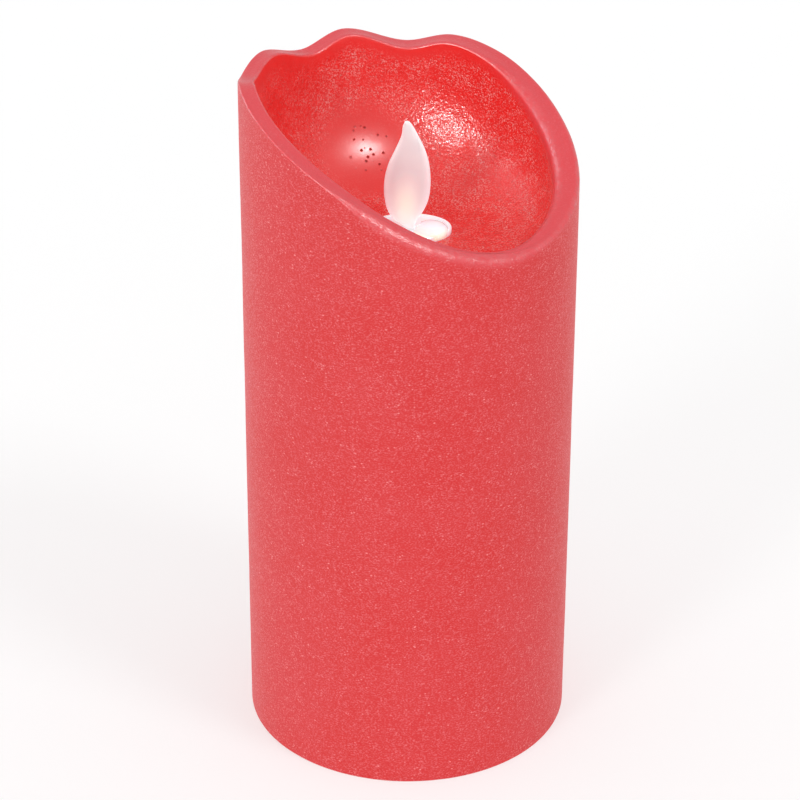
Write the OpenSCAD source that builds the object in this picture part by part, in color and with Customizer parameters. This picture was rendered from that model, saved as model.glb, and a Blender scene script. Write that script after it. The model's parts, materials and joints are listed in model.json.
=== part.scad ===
// Flameless candle: a hollow wax pillar with a scooped top, a hanging flame driven by a coil,
// a battery bay in the base and a three-position slide switch.
// Origin: centre of the standing face. +Z up. The low side of the rim faces -Y.

/* [Wax pillar] */
// Outside diameter of the pillar
pillar_d = 80; // [79:0.5:84]
// Thickness of the wax wall round the hollow
wax_wall = 4.6; // [4.2:0.1:4.8]
// Mean thickness of the wax wall round the bowl
bowl_wall = 5.1; // [4.8:0.1:5.4]
// How far the bowl sits off-centre, towards the left
bowl_shift = 1.2; // [0:0.1:1.4]
// Height of the bowl's floor above the table
bowl_floor_z = 131.5; // [131:0.1:132]
// Mean radius of the corner between the bowl's wall and its floor
bowl_corner = 17; // [16:0.5:18]
// How much wider the corner is at the high side of the rim, and tighter at the low side
bowl_corner_lean = 10; // [8:0.5:10]
// Thickness of the wax under the bowl's floor
bowl_floor_t = 4; // [3:0.1:4.5]

/* [Flame] */
// Thickness of the flame paddle and its tail
flame_t = 1.4; // [1:0.1:1.5]
// Height of the wire that the flame hangs on
pivot_z = 127.5; // [127.4:0.1:127.6]
// Largest swing of the flame to each side, in degrees
flame_swing = 8; // [4:0.5:8]
// Radius of the pivot wire
pivot_wire_r = 0.4; // [0.35:0.01:0.45]
// Radius of the magnet on the flame's tail
magnet_r = 3; // [2:0.1:3.2]

/* [Bezel] */
// Half the length of the oval bezel, across the candle
bezel_rx = 10; // [9.6:0.1:11]
// Half the width of the oval bezel, front to back
bezel_ry = 7.4; // [7.2:0.1:8.5]
// Height of the bezel's rim above the bowl's floor
bezel_rise = 1.4; // [1.2:0.1:1.6]

/* [Base] */
// Depth of the base plate's recess inside the pillar
base_recess = 1; // [0.6:0.1:1]
// Thickness of the base plate
base_t = 2.4; // [2.2:0.1:2.6]
// Diameter of an AA cell
cell_d = 14.2; // [14:0.1:14.4]
// Length of an AA cell with its button
cell_len = 50.5; // [50:0.1:50.8]
// Travel of the slide switch to each side of its middle position
switch_travel = 2; // [1:0.1:2.2]

/* [Hidden] */
$fn = 96;

pillar_r = pillar_d / 2;
hollow_r = pillar_r - wax_wall;
pillar_top = 180;
corner_widest_at = 120;
wall_thickest_at = 10;
rim_cut_depth = 8;
bezel_lip = 0.9;
slot_clearance = 0.35;
hollow_chamfer_r = 8;
hollow_chamfer_z = 9;

// Heights of the wavy rim, as [angle round the pillar, height]; a smooth curve joins them
RIM = [
    [0, 147.3], [20, 153.1], [40, 159.2], [58, 163.9], [75, 166.1], [92, 164.1], [114, 168.4],
    [131, 165.6], [152, 169.7], [172, 169], [189, 171.5], [206, 169], [225, 164.3],
    [245, 157.9], [263, 151.2], [280, 145.7], [298, 141.8], [317, 140.4], [340, 143.3]
];

// Outline of the flame, from its tip down the left side and up the right, as [x, z]
FLAME_LEFT = [
    [-0.8, 160.1], [-1.7, 158.6], [-2.0, 156.4], [-3.4, 152.9], [-4.9, 149.5], [-5.8, 146.2],
    [-6.1, 142.8], [-5.9, 139.8], [-5.2, 137], [-3.8, 134.8], [-2, 133.4]
];
FLAME_RIGHT = [
    [1.5, 133.6], [2.5, 135.7], [3.5, 137.3], [4.5, 140.2], [4.9, 143.7], [4.8, 147.4],
    [4.2, 151.1], [3, 154.3], [1.3, 157.5], [0.1, 159.7]
];

bezel_z = bowl_floor_z + bezel_rise;
neck_rx = 8.2;
neck_ry = 6;
neck_bottom = 126;
slot_half_w = 2.3;
slot_half_d = 1.1;
lens_x = 5.1;
lens_y = -2.1;
lens_r = 4;
lens_h = 1.8;
led_r = 1.5;

stem_w = 2.4;
eye_r = 2;
magnet_z = 104.6;
magnet_t = 2.6;
cup_r = magnet_r + 0.6;
cup_top = 108.2;

case_x = 13;
case_y = 9;
case_wall = 1.6;
case_bottom = 90;
case_top = neck_bottom;
case_boss_x = 9.7;
case_boss_z = [96, 120.5];
ear_x = 20;
ear_t = 1.8;

bobbin_bottom = case_bottom + 2;
bobbin_top = 102.2;
bobbin_flange_r = 7;
bobbin_tube_r = 3;
coil_core_r = 1.9;

base_z = base_recess;
base_top = base_z + base_t;
base_r = hollow_r - 0.4;
liner_r = hollow_r - 0.2;
liner_wall = 1.2;
liner_top = 112;
liner_screw_x = 17;
liner_post_r = 3;
deck_t = 2;

tray_x = 28;
tray_y = 14.8;
tray_wall = 1.4;
tray_top = 20;
tray_wire_x = 22;
tray_wire_z = 18.9;
cell_z = 11;
cell_y = 7.3;
cell_button_h = 1.3;
cell_button_r = 2.75;
contact_t = 0.5;

door_x0 = -26.6;
door_x1 = 27.9;
door_y = 14.7;
door_t = 1.6;
door_gap = 0.4;
hinge_z = base_z + 1.2;
hinge_barrel_r = 1.15;
hinge_pin_r = 0.5;
pin_overhang = 1.8;
latch_half_w = 4;
grip_ribs = 5;
grip_pitch = 2.2;

switch_y = -24.5;
switch_half_d = 2.8;
switch_flange_t = 0.8;
switch_screw_x = 7.8;
knob_x = 1.2;
knob_y = 1;
switch_slot_x = knob_x + switch_travel + 0.4;
switch_slot_y = knob_y + 0.35;

board_y = case_y + 1.4;
board_t = 1.6;
board_bottom = 64;
board_wire_z = board_bottom - 0.2;
board_top = 103;
board_hole_z = 99;
board_hole_x = 9;

base_screw_angles = [90, 230, 310];
base_screw_pitch_r = 31.3;

// Catmull-Rom style curve through [x, y] points, n steps to each stretch
function tangent_at(p, i) =
    i == 0 ? p[1] - p[0] :
    i == len(p) - 1 ? p[i] - p[i - 1] : (p[i + 1] - p[i - 1]) / 2;
function hermite(a, ta, b, tb, t) =
    (2 * pow(t, 3) - 3 * pow(t, 2) + 1) * a + (pow(t, 3) - 2 * pow(t, 2) + t) * ta
    + (3 * pow(t, 2) - 2 * pow(t, 3)) * b + (pow(t, 3) - pow(t, 2)) * tb;
function curve(p, n) = [
    for (i = [0:len(p) - 2], k = [0:n - 1])
        hermite(p[i], tangent_at(p, i), p[i + 1], tangent_at(p, i + 1), k / n),
    p[len(p) - 1]
];

// Height of the rim at any angle from 0 to 360
function rim_point(i) =
    let (n = len(RIM), turn = floor(i / n)) RIM[i - turn * n] + [360 * turn, 0];
function rim_slope(i) =
    (rim_point(i + 1)[1] - rim_point(i - 1)[1]) / (rim_point(i + 1)[0] - rim_point(i - 1)[0]);
function rim_z(angle) =
    let (
        a = angle % 360,
        i = max([for (k = [0:len(RIM) - 1]) if (RIM[k][0] <= a) k]),
        p = rim_point(i),
        q = rim_point(i + 1),
        span = q[0] - p[0]
    )
    hermite(p[1], rim_slope(i) * span, q[1], rim_slope(i + 1) * span, (a - p[0]) / span);

// Oval outline of two half axes
module oval(rx, ry) {
    polygon([for (a = [0:7.5:352.5]) [rx * cos(a), ry * sin(a)]]);
}

// Round wire or cable of radius r swept along a list of 3D points
function unit(v) = v / norm(v);
function path_dir(p, i) = unit(p[min(i + 1, len(p) - 1)] - p[max(i - 1, 0)]);
function path_side(d) = unit(cross(d, abs(d[1]) < 0.9 ? [0, 1, 0] : [1, 0, 0]));
function ring_points(p, i, r, sides) =
    let (d = path_dir(p, i), u = path_side(d), v = cross(d, u))
    [for (k = [0:sides - 1]) p[i] + r * (cos(360 * k / sides) * u + sin(360 * k / sides) * v)];
module swept_wire(p, r, sides = 8) {
    n = len(p);
    points = [for (i = [0:n - 1]) each ring_points(p, i, r, sides)];
    start_cap = [[for (k = [0:sides - 1]) k]];
    end_cap = [[for (k = [sides - 1:-1:0]) (n - 1) * sides + k]];
    skin = [
        for (i = [0:n - 2], k = [0:sides - 1])
            let (a = i * sides + k, b = i * sides + (k + 1) % sides)
            each [[a, a + sides, b + sides], [a, b + sides, b]]
    ];
    polyhedron(points = points, faces = concat(start_cap, end_cap, skin), convexity = 6);
}

// Cross-head screw whose head sits on z = 0 and whose shank runs up
module screw(shank_r, length, head_r, head_h) {
    difference() {
        union() {
            translate([0, 0, -head_h]) cylinder(r = head_r, h = head_h);
            translate([0, 0, -0.1]) cylinder(r = shank_r, h = length + 0.1);
        }
        for (turn = [0, 90])
            rotate([0, 0, turn])
                translate([-head_r * 0.6, -head_r * 0.13, -head_h - 0.1])
                    cube([head_r * 1.2, head_r * 0.26, head_h * 0.6 + 0.1]);
    }
}

// ---- Wax pillar ----

// Skin of quads, split into triangles, between columns of points that run round the axis.
// The first and last row may each be closed with a fan to its own centre point.
function loop_quads(columns, rows, wrap_rows) = [
    for (c = [0:columns - 1], row = [0:rows - (wrap_rows ? 1 : 2)])
        let (
            next_row = (row + 1) % rows,
            next_column = (c + 1) % columns,
            a = rows * c + row,
            b = rows * c + next_row,
            d = rows * next_column + next_row,
            e = rows * next_column + row
        )
        each [[a, b, d], [a, d, e]]
];

// Everything above the rim, in the zone of the wall
module above_rim() {
    step = 5;
    inner = pillar_r - rim_cut_depth;
    outer = pillar_r + 2;
    points = [
        for (a = [0:step:360 - step])
            let (z = rim_z(a), c = cos(a), s = sin(a))
            each [
                [inner * c, inner * s, z], [outer * c, outer * s, z],
                [outer * c, outer * s, pillar_top], [inner * c, inner * s, pillar_top]
            ]
    ];
    polyhedron(points = points, faces = loop_quads(360 / step, 4, true), convexity = 8);
}

// The bowl's inside: flat floor, round corner, straight wall. The corner is wide under the
// high side of the rim and tight under the low side; the wall is thickest at the right.
function corner_at(angle) = bowl_corner + bowl_corner_lean * cos(angle - corner_widest_at);
function bowl_wall_r(angle) = pillar_r - bowl_wall - bowl_shift * cos(angle - wall_thickest_at);
module bowl_space() {
    step = 6;
    columns = 360 / step;
    arc_step = 11.25;
    rows = 90 / arc_step + 2;
    points = [
        for (a = [0:step:360 - step])
            let (corner = corner_at(a), wall_r = bowl_wall_r(a))
            each concat(
                [
                    for (up = [-90:arc_step:0])
                        let (r = wall_r - corner + corner * cos(up))
                        [r * cos(a), r * sin(a), bowl_floor_z + corner * (1 + sin(up))]
                ],
                [[wall_r * cos(a), wall_r * sin(a), pillar_top]]
            )
    ];
    low = len(points);
    caps = [
        for (c = [0:columns - 1])
            let (a = rows * c, b = rows * ((c + 1) % columns))
            each [[low, a, b], [low + 1, b + rows - 1, a + rows - 1]]
    ];
    polyhedron(
        points = concat(points, [[0, 0, bowl_floor_z], [0, 0, pillar_top]]),
        faces = concat(loop_quads(columns, rows, false), caps),
        convexity = 4
    );
}

module wax_shell() color("#d8383c") {
    ceiling = bowl_floor_z - bowl_floor_t;
    difference() {
        cylinder(r = pillar_r, h = pillar_top - 3, $fn = 128);
        bowl_space();
        rotate_extrude($fn = 128)
            polygon([
                [0, -1], [hollow_r, -1], [hollow_r, ceiling - hollow_chamfer_z],
                [hollow_r - hollow_chamfer_r, ceiling], [0, ceiling]
            ]);
        translate([0, 0, ceiling - 1])
            linear_extrude(bowl_floor_t + 2) oval(neck_rx + 0.2, neck_ry + 0.2);
        above_rim();
    }
}

// ---- Plastic liner and base ----

module at_base_screws() {
    for (a = base_screw_angles)
        rotate([0, 0, a]) translate([base_screw_pitch_r, 0, 0]) children();
}

module inner_liner() color("#e9e6e0") {
    difference() {
        union() {
            difference() {
                translate([0, 0, base_top]) cylinder(r = liner_r, h = liner_top - base_top);
                translate([0, 0, base_top - 1])
                    cylinder(r = liner_r - liner_wall, h = liner_top - deck_t - base_top + 1);
            }
            at_base_screws() translate([0, 0, base_top]) cylinder(r = liner_post_r, h = 12);
            for (side = [-1, 1])
                translate([side * liner_screw_x, 0, liner_top - 8]) cylinder(r = liner_post_r, h = 7);
        }
        at_base_screws() translate([0, 0, base_top - 1]) cylinder(r = 1.25, h = 12);
        translate([-case_x - 0.6, -case_y - 0.6, liner_top - deck_t - 1])
            cube([2 * case_x + 1.2, 2 * case_y + 6, deck_t + 2]);
        for (side = [-1, 1])
            translate([side * liner_screw_x, 0, liner_top - 7]) cylinder(r = 1.05, h = 8);
    }
}

module liner_screws() color("silver") {
    for (side = [-1, 1])
        translate([side * liner_screw_x, 0, liner_top + 2])
            mirror([0, 0, 1]) screw(1, 8, 2.2, 1.4);
}

module base_plate() color("#e4e0d8") {
    difference() {
        translate([0, 0, base_z]) cylinder(r = base_r, h = base_t);
        translate([door_x0 - 2.2, -door_y - door_gap, base_z - 1])
            cube([door_x1 + door_gap - door_x0 + 2.2, 2 * (door_y + door_gap), base_t + 2]);
        translate([-switch_slot_x, switch_y - switch_slot_y, base_z - 1])
            cube([2 * switch_slot_x, 2 * switch_slot_y, base_t + 2]);
        at_base_screws() {
            translate([0, 0, base_z - 1]) cylinder(r = 1.5, h = base_t + 2);
            translate([0, 0, base_z - 1]) cylinder(r = 2.9, h = 2.4);
        }
        translate([door_x0, -door_y - pin_overhang, hinge_z])
            rotate([-90, 0, 0]) cylinder(r = hinge_pin_r, h = 2 * (door_y + pin_overhang));
        // finger notch beside the door's free end
        translate([door_x1 + 0.3, -latch_half_w, base_z - 1]) cube([2.6, 2 * latch_half_w, 2]);
    }
}

module base_screws() color("silver") {
    at_base_screws() translate([0, 0, base_z + 1.4]) screw(1.15, 10, 2.6, 1.2);
}

module battery_tray() color("#dcd8cf") {
    height = tray_top - base_top;
    difference() {
        translate([-tray_x - tray_wall, -tray_y - tray_wall, base_top])
            cube([2 * (tray_x + tray_wall), 2 * (tray_y + tray_wall), height]);
        translate([-tray_x, -tray_y, base_top - 1])
            cube([2 * tray_x, 2 * tray_y, height - tray_wall + 1]);
        for (side = [-1, 1])
            translate([side * tray_wire_x, 0, tray_top - 3]) cylinder(r = 1.2, h = 4);
    }
}

// ---- Cells and contacts ----

// One cell lying along X with its button at the positive end
module cell(jacket) {
    body_len = cell_len - cell_button_h;
    color(jacket) rotate([0, 90, 0]) {
        difference() {
            cylinder(d = cell_d, h = body_len);
            translate([0, 0, body_len - 0.6])
                difference() {
                    cylinder(d = cell_d - 2.4, h = 1);
                    cylinder(d = 2 * cell_button_r + 1, h = 1);
                }
        }
        translate([0, 0, body_len - 0.1]) cylinder(r = cell_button_r, h = cell_button_h + 0.1);
    }
}

contact_face = tray_x - contact_t;
module battery_front() {
    translate([contact_face - cell_len - 0.05, -cell_y, cell_z]) cell("#3a3d42");
}
module battery_rear() {
    mirror([1, 0, 0]) translate([contact_face - cell_len - 0.05, cell_y, cell_z]) cell("#3a3d42");
}

module contact_sheet(width) {
    translate([contact_face, -width / 2, cell_z - 6]) cube([contact_t, width, 12]);
}
module bridge_contact() color("#c9cbcf") mirror([1, 0, 0]) contact_sheet(27);
module contact_plate_front() color("#c9cbcf") translate([0, -cell_y, 0]) contact_sheet(12);
module contact_plate_rear() color("#c9cbcf") translate([0, cell_y, 0]) contact_sheet(12);

// Conical contact spring from the contact sheet to the flat end of a cell
module contact_spring() {
    turns = 4;
    steps = 16;
    wire_r = 0.4;
    length = tray_x - contact_t - cell_len + contact_face - 2 * wire_r - 0.2;
    path = [
        for (i = [0:turns * steps])
            let (t = i / (turns * steps), a = 360 * i / steps, r = 5.4 - 2.4 * t)
            [-contact_face + wire_r + 0.05 + length * t, r * cos(a), r * sin(a)]
    ];
    swept_wire(path, wire_r, 6);
}
module contact_spring_front() color("#d4d6da") translate([0, -cell_y, cell_z]) contact_spring();
module contact_spring_rear() color("#d4d6da")
    mirror([1, 0, 0]) translate([0, cell_y, cell_z]) contact_spring();

// ---- Switch ----

module switch_body() color("#b9bcc0") {
    difference() {
        union() {
            translate([-6, switch_y - switch_half_d, base_top]) cube([12, 2 * switch_half_d, 5]);
            translate([-9.6, switch_y - switch_half_d, base_top])
                cube([19.2, 2 * switch_half_d, switch_flange_t]);
        }
        translate([-switch_slot_x, switch_y - switch_slot_y, base_top - 1])
            cube([2 * switch_slot_x, 2 * switch_slot_y, 3.6]);
        for (side = [-1, 1])
            translate([side * switch_screw_x, switch_y, base_top - 1]) cylinder(r = 0.8, h = 3);
    }
}
module switch_screws() color("silver") {
    for (side = [-1, 1])
        translate([side * switch_screw_x, switch_y, base_top + switch_flange_t + 0.05])
            mirror([0, 0, 1]) screw(0.7, 0.8, 1.3, 0.8);
}
module switch_knob() color("#2b2b2d") {
    difference() {
        translate([-knob_x, switch_y - knob_y, base_z + 0.4])
            cube([2 * knob_x, 2 * knob_y, base_t + 1.8]);
        for (x = [-0.7, 0, 0.7])
            translate([x - 0.12, switch_y - 2, base_z]) cube([0.24, 4, 0.65]);
    }
}

// ---- Battery door ----

module battery_door() color("#e4e0d8") {
    difference() {
        union() {
            translate([door_x0, -door_y, base_z]) cube([door_x1 - door_x0, 2 * door_y, door_t]);
            translate([door_x0, -door_y, hinge_z])
                rotate([-90, 0, 0]) cylinder(r = hinge_barrel_r, h = 2 * door_y);
            // latch tongue behind the free end
            translate([door_x1 - 2.4, -latch_half_w, base_z + door_t - 0.1])
                cube([1.2, 2 * latch_half_w, 1.6]);
        }
        translate([door_x0, -door_y - 1, hinge_z])
            rotate([-90, 0, 0]) cylinder(r = hinge_pin_r + 0.05, h = 2 * door_y + 2);
        // grip ribs near the free end
        for (i = [0:grip_ribs - 1])
            translate([door_x1 - 5 - grip_pitch * i, -6, base_z - 1]) cube([1, 12, 1.4]);
    }
}
module door_hinge_pin() color("silver") {
    translate([door_x0, -door_y - pin_overhang, hinge_z])
        rotate([-90, 0, 0]) cylinder(r = hinge_pin_r, h = 2 * (door_y + pin_overhang));
}

// ---- Flame mechanism ----

// One half of the case; side is -1 for the front and 1 for the rear
module case_half(side) {
    inner_x = case_x - case_wall;
    inner_y = case_y - case_wall;
    difference() {
        union() {
            difference() {
                translate([-case_x, side > 0 ? 0.05 : -case_y, case_bottom])
                    cube([2 * case_x, case_y - 0.05, case_top - case_bottom]);
                translate([-inner_x, -inner_y, bobbin_bottom])
                    cube([2 * inner_x, 2 * inner_y, case_top - 2 - bobbin_bottom]);
            }
            for (x = [-1, 1], z = case_boss_z)
                translate([x * case_boss_x, side > 0 ? 0.05 : -case_y + 0.5, z])
                    rotate([-90, 0, 0]) cylinder(r = 2, h = case_y - 0.55);
            // half of each fixing ear
            for (x = [-1, 1])
                translate([x > 0 ? case_x - 1 : -ear_x, side > 0 ? 0.05 : -3.5, liner_top + 0.1])
                    cube([ear_x - case_x + 1, 3.45, ear_t]);
        }
        translate([-5, -3.6, case_top - 3]) cube([14, 7.2, 4]);
        for (x = [-1, 1], z = case_boss_z)
            translate([x * case_boss_x, side > 0 ? -1 : -case_y - 1, z])
                rotate([-90, 0, 0]) {
                    cylinder(r = side > 0 ? 0.8 : 1, h = side > 0 ? 7.5 : case_y + 2);
                    if (side < 0) cylinder(r = 1.9, h = 2.4);
                }
        for (x = [-1, 1])
            translate([x * liner_screw_x, 0, liner_top - 1]) cylinder(r = 1.1, h = 4);
        if (side > 0)
            for (x = [-1, 1])
                translate([x * board_hole_x, inner_y - 1, board_hole_z])
                    rotate([-90, 0, 0]) cylinder(r = 0.8, h = 4);
        // notch in the floor for the coil's leads
        translate([-11, side > 0 ? 2 : -4, case_bottom - 1]) cube([2, 2, 4]);
    }
}
module mechanism_case_front() color("#f2f0ea") case_half(-1);
module mechanism_case_rear() color("#f2f0ea") case_half(1);
module case_screws() color("silver") {
    for (x = [-1, 1], z = case_boss_z)
        translate([x * case_boss_x, -case_y + 1.4, z]) rotate([-90, 0, 0]) screw(0.75, 13, 1.8, 1.2);
}

module flame_bezel() color("#f6f0ee") {
    difference() {
        union() {
            translate([0, 0, neck_bottom])
                linear_extrude(bowl_floor_z - neck_bottom + 0.1) oval(neck_rx, neck_ry);
            translate([0, 0, bowl_floor_z])
                linear_extrude(bezel_rise) oval(bezel_rx, bezel_ry);
        }
        // shallow dish inside the lip
        translate([0, 0, bezel_z - 0.5])
            linear_extrude(1) oval(bezel_rx - bezel_lip, bezel_ry - bezel_lip);
        // slot that the flame swings in, wider round the pivot
        translate([-slot_half_w, -slot_half_d, neck_bottom - 1])
            cube([2 * slot_half_w, 2 * slot_half_d, 12]);
        translate([-3, -slot_half_d, neck_bottom - 1])
            cube([6, 2 * slot_half_d, bowl_floor_z - neck_bottom + 0.6]);
        translate([0, -neck_ry + 0.6, pivot_z])
            rotate([-90, 0, 0]) cylinder(r = pivot_wire_r, h = 2 * neck_ry - 1.2);
        translate([0, 0, bezel_z - 1]) lens_outline(lens_r + 0.05, 2);
        translate([lens_x, lens_y, neck_bottom - 1]) cylinder(r = led_r + 0.1, h = 8);
    }
}

// Round outline of the lens, cut back where the flame's slot passes
module lens_outline(r, height) {
    difference() {
        translate([lens_x, lens_y, 0]) cylinder(r = r, h = height);
        translate([-bezel_rx, -slot_half_d - slot_clearance, -1])
            cube([bezel_rx + slot_half_w + slot_clearance, 12, height + 2]);
    }
}

module led_lens() color("#fff4ec", 0.8) {
    ball_r = (pow(lens_r, 2) + pow(lens_h, 2)) / (2 * lens_h);
    difference() {
        union() {
            translate([0, 0, bezel_z - 0.95]) lens_outline(lens_r, 0.95);
            intersection() {
                translate([lens_x, lens_y, bezel_z + lens_h - ball_r]) sphere(r = ball_r);
                translate([0, 0, bezel_z - 0.1]) lens_outline(lens_r - 0.1, lens_h + 1);
            }
        }
        translate([lens_x, lens_y, bezel_z - 2]) cylinder(r = led_r + 0.1, h = 2.2);
    }
}

module led_lamp() color("#fbeec4") {
    translate([lens_x, lens_y, 124.6]) {
        cylinder(r = led_r, h = 5);
        translate([0, 0, 5]) sphere(r = led_r - 0.02);
    }
    for (x = [-0.6, 0.6])
        translate([lens_x + x, lens_y, 119]) cylinder(r = 0.25, h = 6);
}

module pivot_wire() color("#c8cacd") {
    translate([0, -neck_ry + 0.6, pivot_z])
        rotate([-90, 0, 0]) cylinder(r = pivot_wire_r, h = 2 * neck_ry - 1.2);
}

// Paddle, stem with its pivot eye, tail and magnet cup: one moulding
module flame() color("#f8dcd8") {
    outline = concat(curve(FLAME_LEFT, 3), curve(FLAME_RIGHT, 3));
    difference() {
        union() {
            translate([0, flame_t / 2, 0]) rotate([90, 0, 0]) linear_extrude(flame_t) {
                polygon(outline);
                translate([-stem_w / 2, cup_top - 0.5])
                    square([stem_w, 134.2 - cup_top]);
            }
            translate([0, flame_t / 2, pivot_z])
                rotate([90, 0, 0]) cylinder(r = eye_r, h = flame_t);
            translate([0, 0, magnet_z]) cylinder(r = cup_r, h = cup_top - magnet_z);
        }
        translate([0, flame_t, pivot_z])
            rotate([90, 0, 0]) cylinder(r = pivot_wire_r + 0.05, h = 2 * flame_t);
        translate([0, 0, magnet_z - 1]) cylinder(r = magnet_r, h = magnet_t + 1);
    }
}
module flame_magnet() color("#9b9ea3") {
    translate([0, 0, magnet_z]) cylinder(r = magnet_r, h = magnet_t);
}

module coil_bobbin() color("#2f2f31") {
    difference() {
        union() {
            translate([0, 0, bobbin_bottom]) cylinder(r = bobbin_flange_r, h = 1);
            translate([0, 0, bobbin_top - 1]) cylinder(r = bobbin_flange_r, h = 1);
            translate([0, 0, bobbin_bottom])
                cylinder(r = bobbin_tube_r, h = bobbin_top - bobbin_bottom);
        }
        translate([0, 0, bobbin_bottom - 1])
            cylinder(r = coil_core_r + 0.05, h = bobbin_top - bobbin_bottom + 2);
    }
}
module coil_winding() color("#b5622c") {
    translate([0, 0, bobbin_bottom + 1.05])
        difference() {
            cylinder(r = bobbin_flange_r - 0.6, h = bobbin_top - bobbin_bottom - 2.1);
            translate([0, 0, -1]) cylinder(r = bobbin_tube_r + 0.05, h = 12);
        }
}
module coil_core() color("#8b8e92") {
    translate([0, 0, bobbin_bottom + 0.05])
        cylinder(r = coil_core_r, h = bobbin_top - bobbin_bottom - 0.3);
}

// ---- Electronics ----

module control_board() color("#1f6b3f") {
    difference() {
        translate([-14, board_y, board_bottom]) cube([28, board_t, board_top - board_bottom]);
        for (x = [-1, 1])
            translate([x * board_hole_x, board_y - 1, board_hole_z])
                rotate([-90, 0, 0]) cylinder(r = 1.1, h = 4);
    }
}
module controller_chip() color("#202124") {
    translate([-5, board_y + board_t + 0.15, 78]) cube([10, 1.6, 5]);
    for (i = [0:3], row = [77, 83])
        translate([-4.2 + 2.5 * i, board_y + board_t, row]) cube([0.6, 0.6, 1]);
}
module board_parts() {
    front = board_y + board_t;
    color("#31425e") translate([8.6, front, 72]) rotate([-90, 0, 0]) cylinder(r = 2.6, h = 6.5);
    color("#c7b07a") for (i = [0:2]) translate([-11, front, 70 + 4 * i]) cube([3.2, 0.9, 1.6]);
    color("#c9cbcf") translate([-3, front, 69]) cube([7, 2.2, 2.6]);
    color("#202124") translate([8, front, 86]) cube([3, 1.2, 3]);
}
module board_screws() color("silver") {
    for (x = [-1, 1]) {
        translate([x * board_hole_x, board_y + board_t, board_hole_z])
            rotate([90, 0, 0]) screw(0.75, 4, 1.8, 1.2);
        // spacer sleeve between the board and the case
        translate([x * board_hole_x, case_y + 0.02, board_hole_z])
            rotate([-90, 0, 0]) difference() {
                cylinder(r = 2, h = 1.36);
                translate([0, 0, -1]) cylinder(r = 0.8, h = 4);
            }
    }
}

// Smooth path through hand-placed 3D points
module wire_along(points, r) {
    swept_wire(curve(points, 4), r);
}

// Lead from the battery tray up to the control board, on one side of the case
module battery_wire(side) {
    wire_along([
        [side * tray_wire_x, 0, tray_wire_z], [side * tray_wire_x, 0, 26], [side * 20, 6, 38],
        [side * 13, 12, 50], [side * 8, 11.4, board_wire_z]
    ], 0.6);
}
module wire_battery_positive() color("#c02a2a")
    battery_wire(1);
module wire_battery_negative() color("#222222")
    battery_wire(-1);
module wires_switch() {
    for (x = [-1, 1])
        color(x > 0 ? "#c02a2a" : "#d9c23a")
            wire_along([
                [x * 3, switch_y, base_top + 5.1], [x * 3, -23.5, 16], [x * 3, -20, 30],
                [x * 3.4, -4, 46], [x * 3.4, 9, 56], [x * 3, 11.3, board_wire_z]
            ], 0.5);
}
module wires_led() {
    for (x = [-0.6, 0.6])
        color("#e8e4da")
            wire_along([
                [lens_x + x, lens_y, 118.9], [lens_x + x, lens_y, 114],
                [lens_x + x + 1.4, -3.6, 109], [9.3 + x, -5.6, 104], [9.6 + x, -6.2, 101]
            ], 0.35);
}
module wires_coil() {
    color("#b5622c")
        wire_along([
            [-6.8, -1, 93.5], [-8.4, -2.4, 93.4], [-9.8, -3, 92.2], [-10, -3, 88.5],
            [-10, 0, 84], [-9, 5, 78], [-8, 8.4, 74.4], [-8, 9.9, 74]
        ], 0.3);
}

wax_shell();
inner_liner();
liner_screws();
base_plate();
base_screws();
battery_tray();
battery_front();
battery_rear();
bridge_contact();
contact_plate_front();
contact_plate_rear();
contact_spring_front();
contact_spring_rear();
switch_body();
switch_screws();
switch_knob();
battery_door();
door_hinge_pin();
mechanism_case_front();
mechanism_case_rear();
case_screws();
flame_bezel();
led_lens();
led_lamp();
pivot_wire();
flame();
flame_magnet();
coil_bobbin();
coil_winding();
coil_core();
control_board();
controller_chip();
board_parts();
board_screws();
wire_battery_positive();
wire_battery_negative();
wires_switch();
wires_led();
wires_coil();
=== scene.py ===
"""Looks of the flameless candle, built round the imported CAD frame.

Frame: metres, origin at the centre of the standing face, +Z up, the low side of the rim towards -Y.
"""
import json
import math

import bmesh
import bpy
from mathutils import Matrix, Vector, noise


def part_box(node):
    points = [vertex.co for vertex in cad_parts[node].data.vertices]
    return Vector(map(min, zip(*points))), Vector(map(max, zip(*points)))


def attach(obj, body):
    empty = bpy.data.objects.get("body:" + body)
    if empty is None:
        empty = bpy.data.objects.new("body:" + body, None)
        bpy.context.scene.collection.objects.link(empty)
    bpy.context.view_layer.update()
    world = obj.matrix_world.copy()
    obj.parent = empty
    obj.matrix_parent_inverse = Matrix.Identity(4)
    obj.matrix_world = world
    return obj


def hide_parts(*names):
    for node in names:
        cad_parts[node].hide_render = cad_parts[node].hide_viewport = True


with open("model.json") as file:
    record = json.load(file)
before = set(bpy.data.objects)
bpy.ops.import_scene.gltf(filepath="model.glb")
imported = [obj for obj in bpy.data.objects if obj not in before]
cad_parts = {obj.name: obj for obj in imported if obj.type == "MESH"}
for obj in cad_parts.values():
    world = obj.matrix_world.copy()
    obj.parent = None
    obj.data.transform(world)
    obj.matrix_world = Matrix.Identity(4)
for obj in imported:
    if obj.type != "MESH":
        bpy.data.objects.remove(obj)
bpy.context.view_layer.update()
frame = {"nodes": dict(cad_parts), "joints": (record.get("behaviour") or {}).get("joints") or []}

MM = 0.001
TAU = 2 * math.pi

# ---- Sizes, from the frame and from the same driving dimensions as the CAD ----

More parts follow.
